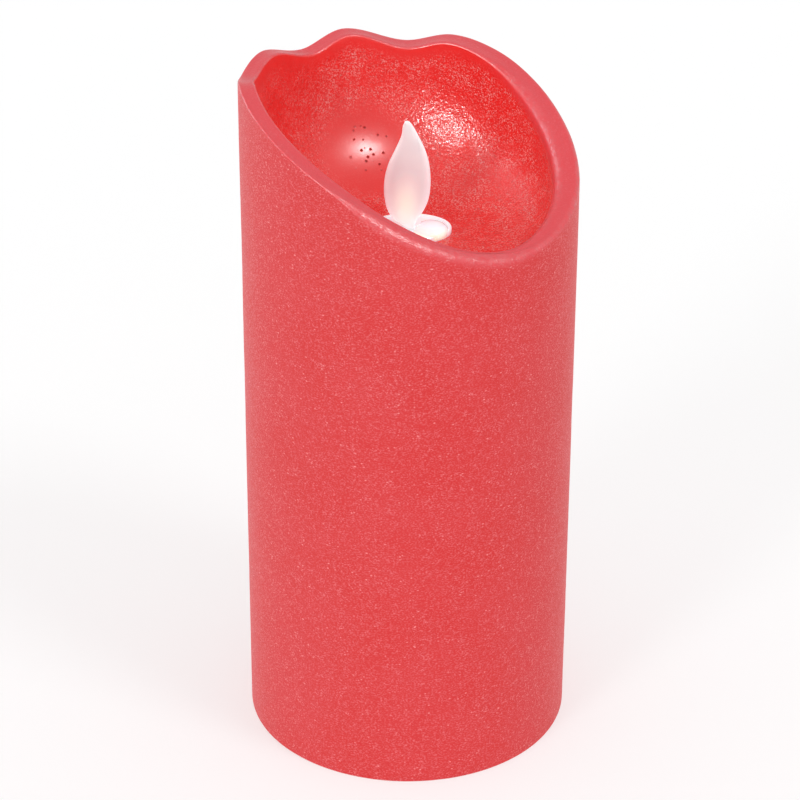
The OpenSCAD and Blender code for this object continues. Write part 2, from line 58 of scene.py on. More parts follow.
PILLAR_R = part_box("wax_shell")[1].x
WAX_T = 4.6 * MM
HOLLOW_R = PILLAR_R - WAX_T
HOLLOW_CHAMFER_R = 8 * MM
HOLLOW_CHAMFER_Z = 9 * MM
FOOT_R = 0.5 * MM
FOOT_LOOP = 2.2 * MM
RIM_DIP = 0.15 * MM
RIM_RUN = 2.6 * MM
BOWL_WALL = 5.1 * MM
BOWL_SHIFT = 1.2 * MM
WALL_THICKEST_AT = 10
FLOOR_T = 4 * MM
BEZEL_LOW, BEZEL_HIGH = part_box("flame_bezel")
BEZEL_RX = BEZEL_HIGH.x
BEZEL_RY = BEZEL_HIGH.y
BEZEL_TOP = BEZEL_HIGH.z
BEZEL_PROUD = 1.4 * MM
BOWL_FLOOR = BEZEL_TOP - BEZEL_PROUD
CORNER_MEAN = 17 * MM
CORNER_LEAN = 10 * MM
CORNER_WIDEST_AT = 120
NECK_RX = 8.2 * MM
NECK_RY = 6.0 * MM
NECK_GAP = 0.2 * MM
LENS_LOW, LENS_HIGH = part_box("led_lens")
LENS_R = 4.0 * MM
LENS_X = LENS_HIGH.x - LENS_R
LENS_Y = LENS_LOW.y + LENS_R
LENS_SEAT = 0.1 * MM
LENS_CUT_GAP = 0.4 * MM
SLOT_X = 2.3 * MM
SLOT_Y = 1.1 * MM
DISH_DEPTH = 0.5 * MM
LIP = 0.9 * MM
LIP_ROUND = 0.45 * MM
GROOVE_W = 1.5 * MM
GROOVE_DEPTH = 0.45 * MM
FLAME_HALF_T = 0.7 * MM
PIVOT = Vector(next(j for j in frame["joints"] if j["name"] == "flame_swing")["pos_m"])

# Heights of the wavy rim in mm, as (angle round the pillar, height); a smooth curve joins them
RIM = [
    (0, 147.3), (20, 153.1), (40, 159.2), (58, 163.9), (75, 166.1), (92, 164.1), (114, 168.4),
    (131, 165.6), (152, 169.7), (172, 169), (189, 171.5), (206, 169), (225, 164.3),
    (245, 157.9), (263, 151.2), (280, 145.7), (298, 141.8), (317, 140.4), (340, 143.3),
]

# Outline of the flame in mm, bottom to top, as (height, left edge, right edge)
FLAME_ROWS = [
    (129.6, -1.2, 1.2), (131.6, -1.25, 1.2), (133.2, -1.7, 1.35), (134.8, -3.8, 1.9),
    (137.0, -5.2, 3.3), (139.8, -5.9, 4.4), (142.8, -6.1, 4.85), (146.2, -5.8, 4.85), (149.5, -4.9, 4.45),
    (152.9, -3.4, 3.5), (156.4, -2.0, 1.9), (158.6, -1.7, 0.75), (159.8, -1.25, -0.1),
]


def hermite(a, slope_a, b, slope_b, span, t):
    """Cubic between a and b over a stretch of length span, t from 0 to 1."""
    return (
        (2 * t**3 - 3 * t**2 + 1) * a + (t**3 - 2 * t**2 + t) * slope_a * span
        + (3 * t**2 - 2 * t**3) * b + (t**3 - t**2) * slope_b * span
    )


def rim_point(i):
    """Rim point number i, counted on past a full turn."""
    turn, k = divmod(i, len(RIM))
    return RIM[k][0] + 360 * turn, RIM[k][1]


def rim_slope(i):
    """Slope of the rim's curve at rim point number i, in mm for each degree."""
    (a0, z0), (a1, z1) = rim_point(i - 1), rim_point(i + 1)
    return (z1 - z0) / (a1 - a0)


def rim_z(angle):
    """Height of the rim in metres at an angle in degrees."""
    angle %= 360
    i = max(k for k, (a, z) in enumerate(RIM) if a <= angle)
    (a0, z0), (a1, z1) = rim_point(i), rim_point(i + 1)
    t = (angle - a0) / (a1 - a0)
    return hermite(z0, rim_slope(i), z1, rim_slope(i + 1), a1 - a0, t) * MM


def smoothstep(low, high, x):
    """0 below low, 1 above high, and a smooth step between."""
    t = min(max((x - low) / (high - low), 0.0), 1.0)
    return t * t * (3 - 2 * t)


# ---- Mesh helpers ----

def new_piece(name, verts, faces, material, body):
    """Mesh object from points and faces that rides on a CAD body."""
    mesh = bpy.data.meshes.new(name)
    mesh.from_pydata(verts, [], faces)
    mesh.update()
    mesh.polygons.foreach_set("use_smooth", [True] * len(mesh.polygons))
    obj = bpy.data.objects.new(name, mesh)
    bpy.context.scene.collection.objects.link(obj)
    mesh.materials.append(material)
    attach(obj, body)
    return obj


def ring_faces(rings, points, close_rings):
    """Quads between rings of points that each close on themselves."""
    faces = []
    for i in range(rings if close_rings else rings - 1):
        a, b = i * points, (i + 1) % rings * points
        for k in range(points):
            n = (k + 1) % points
            faces.append((a + k, a + n, b + n, b + k))
    return faces


def float_attribute(obj, name, values):
    """Gives each point of a piece a number that its material reads by name."""
    layer = obj.data.attributes.new(name, "FLOAT", "POINT")
    layer.data.foreach_set("value", values)


def fix_normals(obj):
    """Turns every face of each closed shape outwards."""
    mesh = bmesh.new()
    mesh.from_mesh(obj.data)
    bmesh.ops.recalc_face_normals(mesh, faces=mesh.faces)
    mesh.to_mesh(obj.data)
    mesh.free()


# ---- Materials ----

class Look:
    """A Principled material, with short calls for the nodes that give it detail."""

    def __init__(self, name, color, roughness, **sockets):
        self.material = bpy.data.materials.new(name)
        self.material.use_nodes = True
        self.tree = self.material.node_tree
        self.shader = self.tree.nodes["Principled BSDF"]
        self.shader.inputs["Base Color"].default_value = (*color, 1)
        self.shader.inputs["Roughness"].default_value = roughness
        for socket, value in sockets.items():
            self.shader.inputs[socket.replace("_", " ").title().replace("Ior", "IOR")].default_value = value
        self.coords = self.tree.nodes.new("ShaderNodeTexCoord").outputs["Object"]

    def node(self, kind, inputs=(), **settings):
        """Adds a node; inputs maps a socket to a number, a colour or another node's output."""
        made = self.tree.nodes.new(kind)
        for key, value in settings.items():
            setattr(made, key, value)
        for socket, value in dict(inputs).items():
            if isinstance(value, bpy.types.NodeSocket):
                self.tree.links.new(value, made.inputs[socket])
            else:
                made.inputs[socket].default_value = value
        return made

    def stretched(self, x, y, z):
        return self.node("ShaderNodeMapping", {"Vector": self.coords, "Scale": (x, y, z)}).outputs[0]

    def noise(self, scale, detail=3.0, rough=0.5, vector=None):
        inputs = {"Vector": vector or self.coords, "Scale": scale, "Detail": detail, "Roughness": rough}
        return self.node("ShaderNodeTexNoise", inputs).outputs["Fac"]

    def cells(self, scale, vector=None):
        inputs = {"Vector": vector or self.coords, "Scale": scale}
        return self.node("ShaderNodeTexVoronoi", inputs).outputs["Distance"]

    def remap(self, value, low, high, to_low=0.0, to_high=1.0):
        inputs = {"Value": value, "From Min": low, "From Max": high, "To Min": to_low, "To Max": to_high}
        return self.node("ShaderNodeMapRange", inputs, interpolation_type="SMOOTHSTEP").outputs[0]

    def math(self, operation, a, b):
        return self.node("ShaderNodeMath", {0: a, 1: b}, operation=operation).outputs[0]

    def mix(self, factor, a, b):
        """Blend of two colours."""
        made = self.node("ShaderNodeMix", {"Factor": factor}, data_type="RGBA")
        for socket, value in ((made.inputs[6], a), (made.inputs[7], b)):
            if isinstance(value, bpy.types.NodeSocket):
                self.tree.links.new(value, socket)
            else:
                socket.default_value = (*value, 1)
        return made.outputs[2]

    def blend(self, factor, a, b):
        """Blend of two numbers."""
        return self.node("ShaderNodeMix", {0: factor, 2: a, 3: b}).outputs[0]

    def attribute(self, name):
        return self.node("ShaderNodeAttribute", attribute_name=name).outputs["Fac"]

    def axis(self, letter):
        return self.node("ShaderNodeSeparateXYZ", {"Vector": self.coords}).outputs[letter]

    def set(self, socket, value):
        self.tree.links.new(value, self.shader.inputs[socket])

    def bump(self, height, distance, strength=1.0, below=None):
        inputs = {"Height": height, "Distance": distance, "Strength": strength}
        if below is not None:
            inputs["Normal"] = below
        out = self.node("ShaderNodeBump", inputs).outputs[0]
        self.set("Normal", out)
        return out


WAX_RED = (0.66, 0.022, 0.024)
WAX_FROST = (0.78, 0.19, 0.205)
WAX_PAINTED_GLINT = (0.95, 0.50, 0.50)
WAX_MOTTLE_AND_LIT_RIM = (0.72, 0.068, 0.085)
WAX_DEEP = (0.83, 0.023, 0.020)
WAX_SPECK = (0.95, 0.36, 0.34)
WAX_PIT_SHADE = (0.36, 0.010, 0.010)


def outside_color(look, grains, flat):
    """Frosty wall: fine pale grains in soft drifts, with a few crystal specks painted bright as glints."""
    drifts = look.noise(420, 3.0, 0.6, flat)
    clouds = look.noise(55, 3.0, 0.5)
    frost = look.math("MULTIPLY", look.remap(grains, 0.46, 0.70), look.remap(drifts, 0.30, 0.70, 0.30, 1.0))
    color = look.mix(look.remap(clouds, 0.3, 0.7, 0.0, 0.16), WAX_RED, WAX_MOTTLE_AND_LIT_RIM)
    color = look.mix(look.math("MULTIPLY", frost, 0.85), color, WAX_FROST)
    # painted glints: a few bright specks in the colour stand in for sparkle off crystal facets
    crystal_glints = look.remap(look.cells(640, flat), 0.10, 0.22, 1.0, 0.0)
    crystal_glints = look.math("MULTIPLY", crystal_glints, look.remap(look.noise(330, 2.0), 0.50, 0.62))
    return look.mix(look.math("MULTIPLY", crystal_glints, 0.42), color, WAX_PAINTED_GLINT)


def inside_color(look, dots, rough_side, pits):
    """Bowl: clear red with pale flecks where the surface is rough, and pits darkened with painted shade."""
    fine = look.remap(look.noise(2900, 2.0, 0.6), 0.50, 0.64, 0.0, 0.85)
    patches = look.remap(look.noise(260, 2.0, 0.5), 0.35, 0.65, 0.35, 1.0)
    amount = look.math("MULTIPLY", look.remap(rough_side, 0.0, 1.0, 0.05, 0.80), patches)
    color = look.mix(look.math("MULTIPLY", look.math("MAXIMUM", dots, fine), amount), WAX_DEEP, WAX_SPECK)
    # painted shade: the pits are coloured dark red
    return look.mix(pits, color, WAX_PIT_SHADE)


def wax_roughness(look, grains, bowl, rim, rough_side, pits):
    """Grainy wall, satin rim, smoother bowl and matt pits."""
    outer_rough = look.remap(grains, 0.35, 0.7, 0.60, 0.40)
    bowl_rough = look.remap(rough_side, 0.0, 1.0, 0.36, 0.19)
    bowl_rough = look.math("ADD", bowl_rough, look.remap(look.noise(500, 2.0), 0.3, 0.7, -0.02, 0.06))
    rough = look.blend(bowl, outer_rough, bowl_rough)
    rough = look.blend(rim, rough, 0.40)
    return look.blend(pits, rough, 0.85)


def wax_relief(look, grains, dots, bowl, rough_side, pits):
    """Grain outside, bumps and pits in the bowl; the gloss follows the same relief."""
    outer_height = look.math("MULTIPLY", grains, look.math("SUBTRACT", 1.0, bowl))
    first = look.bump(outer_height, 0.15 * MM, 0.8)
    peel = look.math("ADD", look.noise(1450, 2.0, 0.5), look.math("MULTIPLY", look.noise(620, 1.0), 0.7))
    peel = look.math("ADD", peel, look.math("MULTIPLY", dots, 0.4))
    peel = look.math("MULTIPLY", peel, look.remap(rough_side, 0.0, 1.0, 0.03, 1.0))
    peel = look.math("SUBTRACT", peel, look.math("MULTIPLY", pits, 0.5))
    final = look.bump(look.math("MULTIPLY", peel, bowl), 0.28 * MM, 0.8, below=first)
    look.set("Coat Normal", final)


def wax_look():
    """Red wax: frosty and grainy outside, satin on the rim, glossy in the bowl and on the edges."""
    look = Look("red_wax", WAX_RED, 0.5, subsurface_weight=0.12, subsurface_scale=0.002,
                sheen_weight=0.04, sheen_roughness=0.4, coat_roughness=0.24,
                specular_ior_level=0.34)
    look.shader.inputs["Subsurface Radius"].default_value = (1.0, 0.25, 0.2)
    look.shader.inputs["Sheen Tint"].default_value = (1, 0.85, 0.86, 1)
    bowl, rim, edge = look.attribute("bowl"), look.attribute("rim"), look.attribute("edge")
    rough_side, pitted = look.attribute("rough_side"), look.attribute("pitted")

    flat = look.stretched(1, 1, 1.5)
    grains = look.noise(2100, 3.0, 0.6, flat)
    pits = look.remap(look.cells(640), 0.14, 0.27, 1.0, 0.0)
    pits = look.math("MULTIPLY", pits, look.remap(look.noise(360, 1.0), 0.38, 0.46))
    pits = look.math("MULTIPLY", pits, pitted)
    dots = look.remap(look.cells(1450), 0.20, 0.36, 1.0, 0.0)
    color = look.mix(bowl, outside_color(look, grains, flat), inside_color(look, dots, rough_side, pits))
    # painted light: the rim's up-facing top is coloured paler, as where more light falls on it
    look.set("Base Color", look.mix(look.math("MULTIPLY", rim, 0.75), color, WAX_MOTTLE_AND_LIT_RIM))
    look.set("Roughness", wax_roughness(look, grains, bowl, rim, rough_side, pits))

    patchy = look.remap(look.noise(700, 2.0, 0.6), 0.41, 0.55, 0.1, 1.0)
    gloss = look.math("MAXIMUM", look.math("MULTIPLY", bowl, 0.5), look.math("MULTIPLY", edge, patchy))
    look.set("Coat Weight", look.math("MULTIPLY", gloss, look.math("SUBTRACT", 1.0, pits)))
    wax_relief(look, grains, dots, bowl, rough_side, pits)
    return look.material


# Middle and size of the painted glow that stands in for the LED's light in the flame
FLAME_GLOW_AT = (-0.9 * MM, 0, 138.8 * MM)
FLAME_GLOW_R = 7.5 * MM


def flame_look():
    """Frosted plastic flame: a painted glow, warm and low down inside, stands in for the LED's light, and
    painted light makes it lighter at its thin edges.
    """
    look = Look("flame_plastic", (0.86, 0.93, 0.95), 0.42, subsurface_weight=0.4,
                subsurface_scale=0.003)
    look.shader.inputs["Subsurface Radius"].default_value = (1.0, 0.9, 0.9)
    centre = look.node("ShaderNodeVectorMath", {0: look.coords, 1: FLAME_GLOW_AT},
                       operation="SUBTRACT").outputs[0]
    scaled = look.node("ShaderNodeMapping", {"Vector": centre, "Scale": (1.5, 0, 0.75)}).outputs[0]
    away = look.node("ShaderNodeVectorMath", {0: scaled}, operation="LENGTH").outputs["Value"]
    glow = look.remap(away, 0.0, FLAME_GLOW_R, 1.0, 0.0)
    thin = look.remap(look.attribute("edge"), 0.55, 1.0)
    cloud = look.noise(220, 2.0)
    color = look.mix(look.remap(cloud, 0.3, 0.7), (0.84, 0.91, 0.93), (0.88, 0.95, 0.96))
    # painted light: the colour turns warmer white round the glow's middle
    color = look.mix(glow, color, (0.92, 0.94, 0.90))
    look.set("Base Color", color)
    # painted glow: emission stands in for the LED's light, strongest round the glow's middle, at the thin
    # edges and low down
    look.set("Emission Color", look.mix(glow, (0.95, 0.93, 1.0), (0.90, 1.0, 0.74)))
    light = look.math("ADD", look.math("MULTIPLY", glow, 0.24), look.math("MULTIPLY", thin, 0.14))
    foot = look.remap(look.axis("Z"), 134 * MM, 151 * MM, 0.17, 0.03)
    look.set("Emission Strength", look.math("ADD", light, foot))
    look.bump(look.noise(2600, 2.0), 0.03 * MM, 0.5)
    return look.material


def plastic(name, color, roughness=0.45, grain=1600, depth=0.03, **sockets):
    """Moulded plastic with a fine spark-eroded grain and faint flow clouds."""
    look = Look(name, color, roughness, **sockets)
    grains = look.noise(grain, 3.0, 0.6)
    clouds = look.noise(60, 2.0)
    darker = tuple(c * 0.86 for c in color)
    look.set("Base Color", look.mix(look.remap(clouds, 0.3, 0.7, 0.0, 0.6), color, darker))
    look.set("Roughness", look.remap(grains, 0.3, 0.7, roughness - 0.08, roughness + 0.1))
    look.bump(grains, depth * MM, 0.6)
    return look.material


def metal(name, color, roughness=0.3, brushed=(1, 1, 1), scale=900):
    """Metal with fine drawing marks and uneven polish."""
    look = Look(name, color, roughness, metallic=1.0)
    lines = look.noise(scale, 3.0, 0.6, look.stretched(*brushed))
    stains = look.noise(140, 2.0)
    darker = tuple(c * 0.75 for c in color)
    look.set("Base Color", look.mix(look.remap(stains, 0.4, 0.75, 0.0, 0.7), color, darker))
    look.set("Roughness", look.remap(lines, 0.3, 0.7, roughness - 0.08, roughness + 0.14))
    look.bump(lines, 0.02 * MM, 0.4)
    return look.material


def cell_look():
    """Battery jacket: dark wrap with a copper-coloured band at the button end of each cell."""
    look = Look("cell_jacket", (0.03, 0.032, 0.036), 0.28, metallic=0.6)
    x, y = look.axis("X"), look.axis("Y")
    side = look.node("ShaderNodeMath", {0: y}, operation="SIGN").outputs[0]
    along = look.math("MULTIPLY", x, side)
    band = look.remap(along, -13.2 * MM, -13.0 * MM, 1.0, 0.0)
    color = look.mix(band, (0.03, 0.032, 0.036), (0.62, 0.26, 0.07))
    steel = look.remap(along, -26.25 * MM, -26.15 * MM, 1.0, 0.0)
    color = look.mix(steel, color, (0.7, 0.7, 0.7))
    look.set("Base Color", color)
    look.set("Roughness", look.remap(look.noise(300, 3.0), 0.3, 0.7, 0.2, 0.4))
    return look.material


def winding_look():
    """Enamelled copper wire wound in close turns."""
    look = Look("copper_winding", (0.62, 0.22, 0.06), 0.25, metallic=0.9)
    turns = look.node("ShaderNodeTexWave", {"Vector": look.coords, "Scale": 1500.0, "Distortion": 0.6},
                      bands_direction="Z").outputs["Fac"]
    look.set("Base Color", look.mix(turns, (0.30, 0.08, 0.02), (0.70, 0.27, 0.08)))
    look.bump(turns, 0.1 * MM, 0.8)
    return look.material


def board_look():
    """Green solder mask with copper tracks under it."""
    look = Look("solder_mask", (0.01, 0.13, 0.05), 0.3, coat_weight=0.4)
    tracks = look.node("ShaderNodeTexBrick", {"Vector": look.coords, "Scale": 330.0,
                                              "Mortar Size": 0.06}).outputs["Fac"]
    mottle = look.noise(250, 3.0)
    color = look.mix(tracks, (0.01, 0.12, 0.045), (0.02, 0.24, 0.08))
    look.set("Base Color", look.mix(look.remap(mottle, 0.3, 0.7, 0.0, 0.4), color, (0.01, 0.09, 0.04)))
    look.bump(tracks, 0.04 * MM, 0.5)
    return look.material


def lens_look():
    """Milky domed lens with a painted glow: emission and a warmer colour in its lower front stand in for
    the lamp's warm light, with a faint painted glow all over.
    """
    look = Look("clear_lens", (0.90, 0.95, 0.98), 0.08, transmission_weight=0.10, ior=1.46,
                coat_weight=0.8, coat_roughness=0.03, subsurface_weight=0.3, subsurface_scale=0.002)
    height = look.axis("Z")
    depth = look.axis("Y")
    low = look.remap(height, BEZEL_TOP, LENS_HIGH.z, 1.0, 0.0)
    front = look.remap(depth, LENS_Y - LENS_R, LENS_Y + 0.5 * LENS_R, 1.0, 0.0)
    warm = look.math("MULTIPLY", low, front)
    ripples = look.noise(500, 1.0)
    color = look.mix(look.remap(ripples, 0.4, 0.7, 0.0, 0.5), (0.88, 0.95, 0.98), (0.84, 0.91, 0.96))
    # painted light: the lower front is coloured warmer, where the lamp's light shows
    look.set("Base Color", look.mix(warm, color, (0.96, 0.97, 0.88)))
    # painted glow: emission stands in for the lamp's light, faint all over and stronger in the lower front
    look.set("Emission Color", look.mix(warm, (0.82, 0.92, 1.0), (0.90, 0.98, 0.74)))
    look.set("Emission Strength", look.math("ADD", look.math("MULTIPLY", warm, 0.25), 0.23))
    return look.material


def bezel_look():
    """Glossy white plastic with a faint painted glow for the LED's light, and painted shade in the groove
    and towards the flame's slot.
    """
    look = Look("bezel_plastic", (0.95, 0.90, 0.92), 0.18, coat_weight=0.4, coat_roughness=0.08,
                subsurface_weight=0.2, subsurface_scale=0.002)
    clouds = look.noise(260, 2.0)
    groove, painted_slot_shade = look.attribute("groove"), look.attribute("painted_slot_shade")
    color = look.mix(look.remap(clouds, 0.3, 0.7, 0.0, 0.5), (0.93, 0.93, 0.95), (0.90, 0.86, 0.89))
    # painted shade: the groove behind the lens is coloured dark mauve, and gets less glow below
    look.set("Base Color", look.mix(groove, color, (0.34, 0.22, 0.27)))
    look.set("Roughness", look.remap(look.noise(900, 2.0), 0.3, 0.7, 0.12, 0.24))
    # painted glow: emission stands in for the LED's light showing through the plate
    look.shader.inputs["Emission Color"].default_value = (0.80, 0.92, 1.0, 1)
    lit = look.math("SUBTRACT", 0.27, look.math("MULTIPLY", groove, 0.26))
    # painted shade: less glow across the dish towards the flame's slot, and least in the slot
    lit = look.math("SUBTRACT", lit, look.math("MULTIPLY", painted_slot_shade, 0.15))
    look.set("Emission Strength", lit)
    look.bump(look.noise(500, 2.0), 0.04 * MM, 0.5)
    return look.material


# ---- Wax pillar ----

def corner_radius(degrees):
    """Radius of the bowl's corner: wide under the high side of the rim, tight under the low side."""
    return CORNER_MEAN + CORNER_LEAN * math.cos(math.radians(degrees - CORNER_WIDEST_AT))


def bowl_wall_r(degrees):
    """Radius of the bowl's wall about the pillar's axis; the bowl sits a little to the left."""
    return PILLAR_R - BOWL_WALL - BOWL_SHIFT * math.cos(math.radians(degrees - WALL_THICKEST_AT))


def bowl_point(s, corner, wall_r):
    """(r, z) on the bowl's surface, s metres out from the start of a corner of that radius."""
    quarter = corner * math.pi / 2
    if s < quarter:
        a = s / corner
        return wall_r - corner + corner * math.sin(a), BOWL_FLOOR + corner * (1 - math.cos(a))
    return wall_r, BOWL_FLOOR + corner + s - quarter


def bowl_reach(z, corner):
    """How far out from the start of its corner the bowl's surface reaches the height z."""
    rise = z - BOWL_FLOOR
    if rise < corner:
        return corner * math.acos(1 - rise / corner)
    return corner * math.pi / 2 + rise - corner


def oval_r(rx, ry, a):
    """Distance from the middle of an oval to its edge at an angle."""
    return rx * ry / math.hypot(ry * math.cos(a), rx * math.sin(a))


def arc(cr, cz, radius, start, end, steps):
    """Points of a round edge as (r, z), angles in degrees."""
    points = []
    for i in range(steps + 1):
        a = math.radians(start + (end - start) * i / steps)
        points.append((cr + radius * math.cos(a), cz + radius * math.sin(a)))
    return points


def bump_between(start, full_from, full_to, end, degrees):
    """1 between full_from and full_to, falling smoothly to 0 at start and end; degrees may wrap."""
    a = (degrees - start) % 360
    rise = smoothstep(0, full_from - start, a)
    fall = 1 - smoothstep(full_to - start, end - start, a)
    return min(rise, fall)


def low_side(degrees):
    """1 round the low side of the rim and the right, 0 at the left and the back."""
    return bump_between(268, 305, 385, 430, degrees)


def outer_edge_r(degrees):
    """Rounding of the rim's outer edge: crisp at the left, softest at the front, soft at the right."""
    soft = bump_between(244, 262, 380, 420, degrees)
    softest = bump_between(240, 262, 298, 325, degrees)
    return (0.4 + 0.9 * soft + 1.7 * softest) * MM


def inner_edge_r(degrees):
    """Rounding of the rim's inner edge: crisp at the back and left, soft at the low side."""
    return (0.6 + 2.1 * low_side(degrees)) * MM


def wall_section(top, outer_r):
    """Standing face, rounded foot and wall, up to the rim's outer edge."""
    steps = 96
    section = [(HOLLOW_R, 0, 0, 0, 0), (PILLAR_R - FOOT_LOOP, 0, 0, 0, 0)]
    section += [(r, z, 0, 0, 0) for r, z in arc(PILLAR_R - FOOT_R, FOOT_R, FOOT_R, -90, 0, 3)]
    end = top - outer_r
    for i in range(1, steps):
        section.append((PILLAR_R, FOOT_R + (end - FOOT_R) * i / steps, 0, 0, 0))
    return section


def rim_section(top, outer_r, inner_r, inner_x, soft):
    """Outer edge, top and inner edge of the rim; the rounding of the inner edge starts at inner_x."""
    steps, top_steps = 7, 4
    section = []
    for i, (r, z) in enumerate(arc(PILLAR_R - outer_r, top - outer_r, outer_r, 0, 90, steps)):
        t = i / steps
        section.append((r, z, 0, smoothstep(-0.1, 0.4, t), math.sin(math.pi * t)))
    outer_x = PILLAR_R - outer_r
    for i in range(1, top_steps):
        t = i / top_steps
        dip = RIM_DIP * math.sin(math.pi * t)
        section.append((outer_x + (inner_x - outer_x) * t, top - dip, 0, 1, 0))
    for i, (r, z) in enumerate(arc(inner_x, top - inner_r, inner_r, 90, 180, steps)):
        t = i / steps
        inside = smoothstep(0.3, 1.0, t)
        section.append((r, z, inside, max(1 - inside, soft), math.sin(math.pi * t)))
    return section


def bowl_section(reach, corner, wall_r, hole, soft):
    """Bowl, from the rim down its wall, round its corner and over its floor to the hole."""
    wall_steps, floor_steps = 76, 16
    section = []
    for i in range(1, wall_steps + 1):
        depth = reach * i / wall_steps
        rim = soft * (1 - smoothstep(0, RIM_RUN, depth))
        section.append((*bowl_point(reach - depth, corner, wall_r), 1, rim, 0))
    start = wall_r - corner
    for i in range(1, floor_steps + 1):
        section.append((start + (hole - start) * i / floor_steps, BOWL_FLOOR, 1, 0, 0))
    return section


def hollow_section(hole):
    """Hole, underside of the bowl's floor, chamfer and hollow, down to the standing face."""
    steps = 12
    under = BOWL_FLOOR - FLOOR_T
    chamfer_r, chamfer_z = HOLLOW_R - HOLLOW_CHAMFER_R, under - HOLLOW_CHAMFER_Z
    section = [(hole, BOWL_FLOOR - FLOOR_T / 2, 0, 0, 0), (hole, under, 0, 0, 0)]
    section += [((hole + chamfer_r) / 2, under, 0, 0, 0), (chamfer_r, under, 0, 0, 0)]
    section += [(HOLLOW_R, chamfer_z, 0, 0, 0)]
    for i in range(1, steps):
        section.append((HOLLOW_R, chamfer_z * (1 - i / steps), 0, 0, 0))
    return section


def wax_section(degrees):
    """Closed section of the pillar at an angle, up and round from the foot.

    Each point is (r, z, bowl, rim, edge); the last three say which finish it has.
    """
    top, soft = rim_z(degrees), low_side(degrees)
    outer_r, inner_r = outer_edge_r(degrees), inner_edge_r(degrees)
    corner, wall_r = corner_radius(degrees), bowl_wall_r(degrees)
    reach = bowl_reach(top - inner_r, corner)
    inner_x = bowl_point(reach, corner, wall_r)[0] + inner_r
    hole = oval_r(NECK_RX + NECK_GAP, NECK_RY + NECK_GAP, math.radians(degrees))
    section = wall_section(top, outer_r)
    section += rim_section(top, outer_r, inner_r, inner_x, soft)
    section += bowl_section(reach, corner, wall_r, hole, soft)
    return section + hollow_section(hole)


# Middles of the smooth patch at the back left of the bowl, and of the pits in it
SMOOTH_SPOT = Vector((-10.5, 26.0, 140.0)) * MM
PITTED_SPOT = Vector((-9.0, 27.0, 141.0)) * MM


def bowl_texture(point, degrees):
    """How rough and how pitted the bowl is at a point, each from 0 to 1."""
    lean = math.cos(math.radians(degrees - 30))
    rough = 0.5 + 0.5 * smoothstep(-0.45, 0.15, lean)
    rough *= 0.04 + 0.96 * smoothstep(8.5 * MM, 15.5 * MM, (point - SMOOTH_SPOT).length)
    rough *= smoothstep(0.5 * MM, 6 * MM, rim_z(degrees) - point.z)
    pitted = 1 - smoothstep(5.0 * MM, 8.0 * MM, (point - PITTED_SPOT).length)
    return rough, pitted


def wax_shape(p, bowl, rim, rough):
    """How far a point of the wax moves out (along the radius) and up, to look cast by hand."""
    if bowl:
        bumps = noise.noise(p * 150 + Vector((7, 3, 1))) * 0.10 * MM
        pocks = noise.noise(p * 520) * 0.04 * MM
        out = bowl * rough * (bumps + pocks)
        return out, out * 0.6
    slow = noise.noise(p * 38) * 0.16 * MM
    fine = noise.noise(p * 420) * 0.035 * MM
    return min(slow + fine, 0.0) * (1 - rim), 0.0


def wax_shell():
    """The pillar: wall, wavy rim, scooped bowl and hollow inside, as one closed skin."""
    columns = 400
    verts = []
    finish = {"bowl": [], "rim": [], "edge": [], "rough_side": [], "pitted": []}
    for c in range(columns):
        degrees = 360 * c / columns
        a = math.radians(degrees)
        for r, z, bowl, rim, edge in wax_section(degrees):
            point = Vector((r * math.cos(a), r * math.sin(a), z))
            rough, pitted = bowl_texture(point, degrees)
            out, up = wax_shape(point, bowl, rim, rough)
            grow = 1 + out / r
            verts.append((point.x * grow, point.y * grow, z + up))
            for name, value in zip(finish, (bowl, rim, edge, rough, pitted)):
                finish[name].append(value)
    faces = ring_faces(columns, len(verts) // columns, close_rings=True)
    piece = new_piece("wax_pillar", verts, faces, wax_look(), "pillar")
    for name, values in finish.items():
        float_attribute(piece, name, values)
    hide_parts("wax_shell")


# ---- Bezel and lens ----

def slot_r(a, grow=0.0):
    """Distance from the axis to the edge of the flame's slot, a rectangle with soft corners."""
    power = 10
    c = abs(math.cos(a)) / (SLOT_X + grow)
    s = abs(math.sin(a)) / (SLOT_Y + grow)
    return (c ** power + s ** power) ** (-1 / power)


def lens_groove(x, y):
    """How deep the groove behind the lens is at a point of the dish, from 0 to 1; the bezel's painted shade
    follows the same number.
    """
    gap = math.hypot(x - LENS_X, y - LENS_Y) - LENS_R
    groove = 1 - smoothstep(0.0, GROOVE_W, gap) if gap > -0.4 * MM else 0.0
    return groove * smoothstep(0.0, 3 * MM, y - LENS_Y)


def bezel_profile(a):
    """Section of the bezel at an angle: (r, z, painted slot shade, groove), round from the neck's foot."""
    bottom = BEZEL_LOW.z
    dish_z = BEZEL_TOP - DISH_DEPTH
    rim_r, neck_r = oval_r(BEZEL_RX, BEZEL_RY, a), oval_r(NECK_RX, NECK_RY, a)
    profile = [(neck_r, bottom, 0, 0), (neck_r, BOWL_FLOOR, 0, 0)]
    profile += [(rim_r - 0.1 * MM, BOWL_FLOOR, 0, 0), (rim_r, BOWL_FLOOR + 0.1 * MM, 0, 0)]
    over = arc(0, BEZEL_TOP - LIP_ROUND, LIP_ROUND, 0, 180, 8)
    profile += [(rim_r - LIP_ROUND + r, z, 0, 0) for r, z in over]
    dish_r, edge = rim_r - LIP, slot_r(a, 0.25 * MM)
    steps = 14
    for i in range(steps + 1):
        r = dish_r + (edge - dish_r) * i / steps
        groove = lens_groove(r * math.cos(a), r * math.sin(a))
        profile.append((r, dish_z - GROOVE_DEPTH * groove, 0.15 * i / steps, groove))
    profile.append((slot_r(a, 0.07 * MM), dish_z - 0.06 * MM, 0.6, 0))
    return profile + [(slot_r(a), dish_z - 0.3 * MM, 1, 0), (slot_r(a), bottom, 1, 0)]


